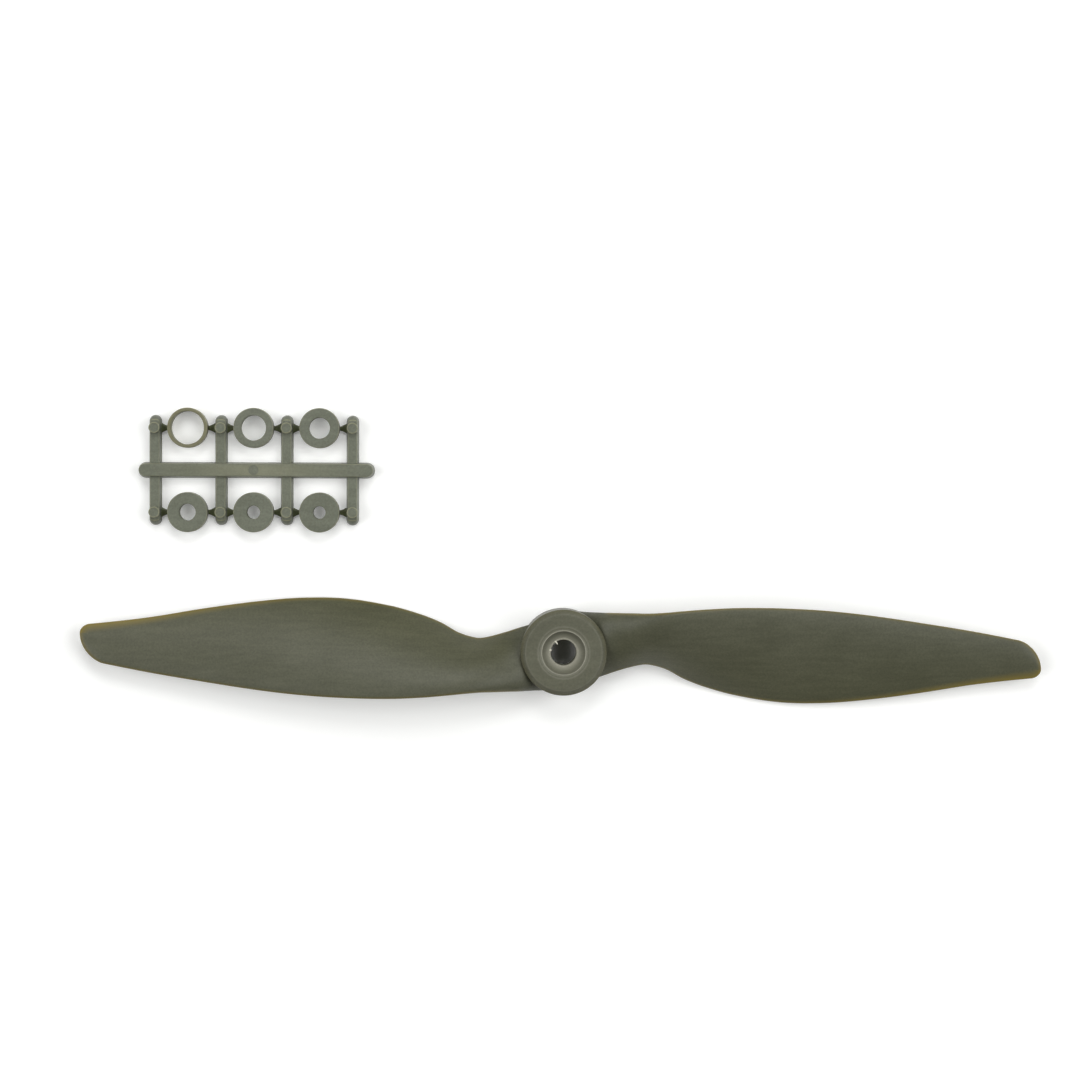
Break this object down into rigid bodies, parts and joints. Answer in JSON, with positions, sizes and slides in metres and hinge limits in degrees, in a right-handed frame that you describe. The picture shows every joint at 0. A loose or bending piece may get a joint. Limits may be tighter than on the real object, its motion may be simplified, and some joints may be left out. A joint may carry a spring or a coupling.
{
  "type": "two-blade model aircraft propeller with shaft adapter rings",
  "caption": "Moulded model aircraft propeller with slim twisted blades, and its sprue of bore adapter rings that snap off to suit the motor shaft.",
  "frame": {"origin": "on the shaft axis, in the plane of the hub's rear face, at the mouth of the ring seat", "axes": "+Z forward along the shaft, the way the propeller pulls; +X along the blade that points right in the picture; +Y towards that blade's leading edge"},
  "size_m": [0.2286, 0.0702, 0.0133],
  "materials": {
    "blade_nylon": "satin moulded",
    "ring_nylon": "satin moulded"
  },
  "bodies": {
    "propeller": {"propeller": "blade_nylon"},
    "ring_sprue": {"ring_sprue": "ring_nylon"},
    "adapter_ring_8mm": {"adapter_ring_8mm": "ring_nylon"},
    "adapter_ring_6mm": {"adapter_ring_6mm": "ring_nylon"},
    "adapter_ring_5mm": {"adapter_ring_5mm": "ring_nylon"},
    "adapter_ring_4mm": {"adapter_ring_4mm": "ring_nylon"},
    "adapter_ring_3_2mm": {"adapter_ring_3_2mm": "ring_nylon"},
    "adapter_ring_3mm": {"adapter_ring_3mm": "ring_nylon"}
  },
  "joints": [
    {"name": "sprue_lift", "type": "slide", "parent": "propeller", "child": "ring_sprue", "axis": [0, 0, 1], "range_m": [0, 0.05]},
    {"name": "ring_8mm_off", "type": "slide", "parent": "ring_sprue", "child": "adapter_ring_8mm", "axis": [0, 0, 1], "range_m": [0, 0.02]},
    {"name": "ring_6mm_off", "type": "slide", "parent": "ring_sprue", "child": "adapter_ring_6mm", "axis": [0, 0, 1], "range_m": [0, 0.02]},
    {"name": "ring_5mm_off", "type": "slide", "parent": "ring_sprue", "child": "adapter_ring_5mm", "axis": [0, 0, 1], "range_m": [0, 0.02]},
    {"name": "ring_4mm_off", "type": "slide", "parent": "ring_sprue", "child": "adapter_ring_4mm", "axis": [0, 0, 1], "range_m": [0, 0.02]},
    {"name": "ring_3_2mm_off", "type": "slide", "parent": "ring_sprue", "child": "adapter_ring_3_2mm", "axis": [0, 0, 1], "range_m": [0, 0.02]},
    {"name": "ring_3mm_off", "type": "slide", "parent": "ring_sprue", "child": "adapter_ring_3mm", "axis": [0, 0, 1], "range_m": [0, 0.02]}
  ]
}
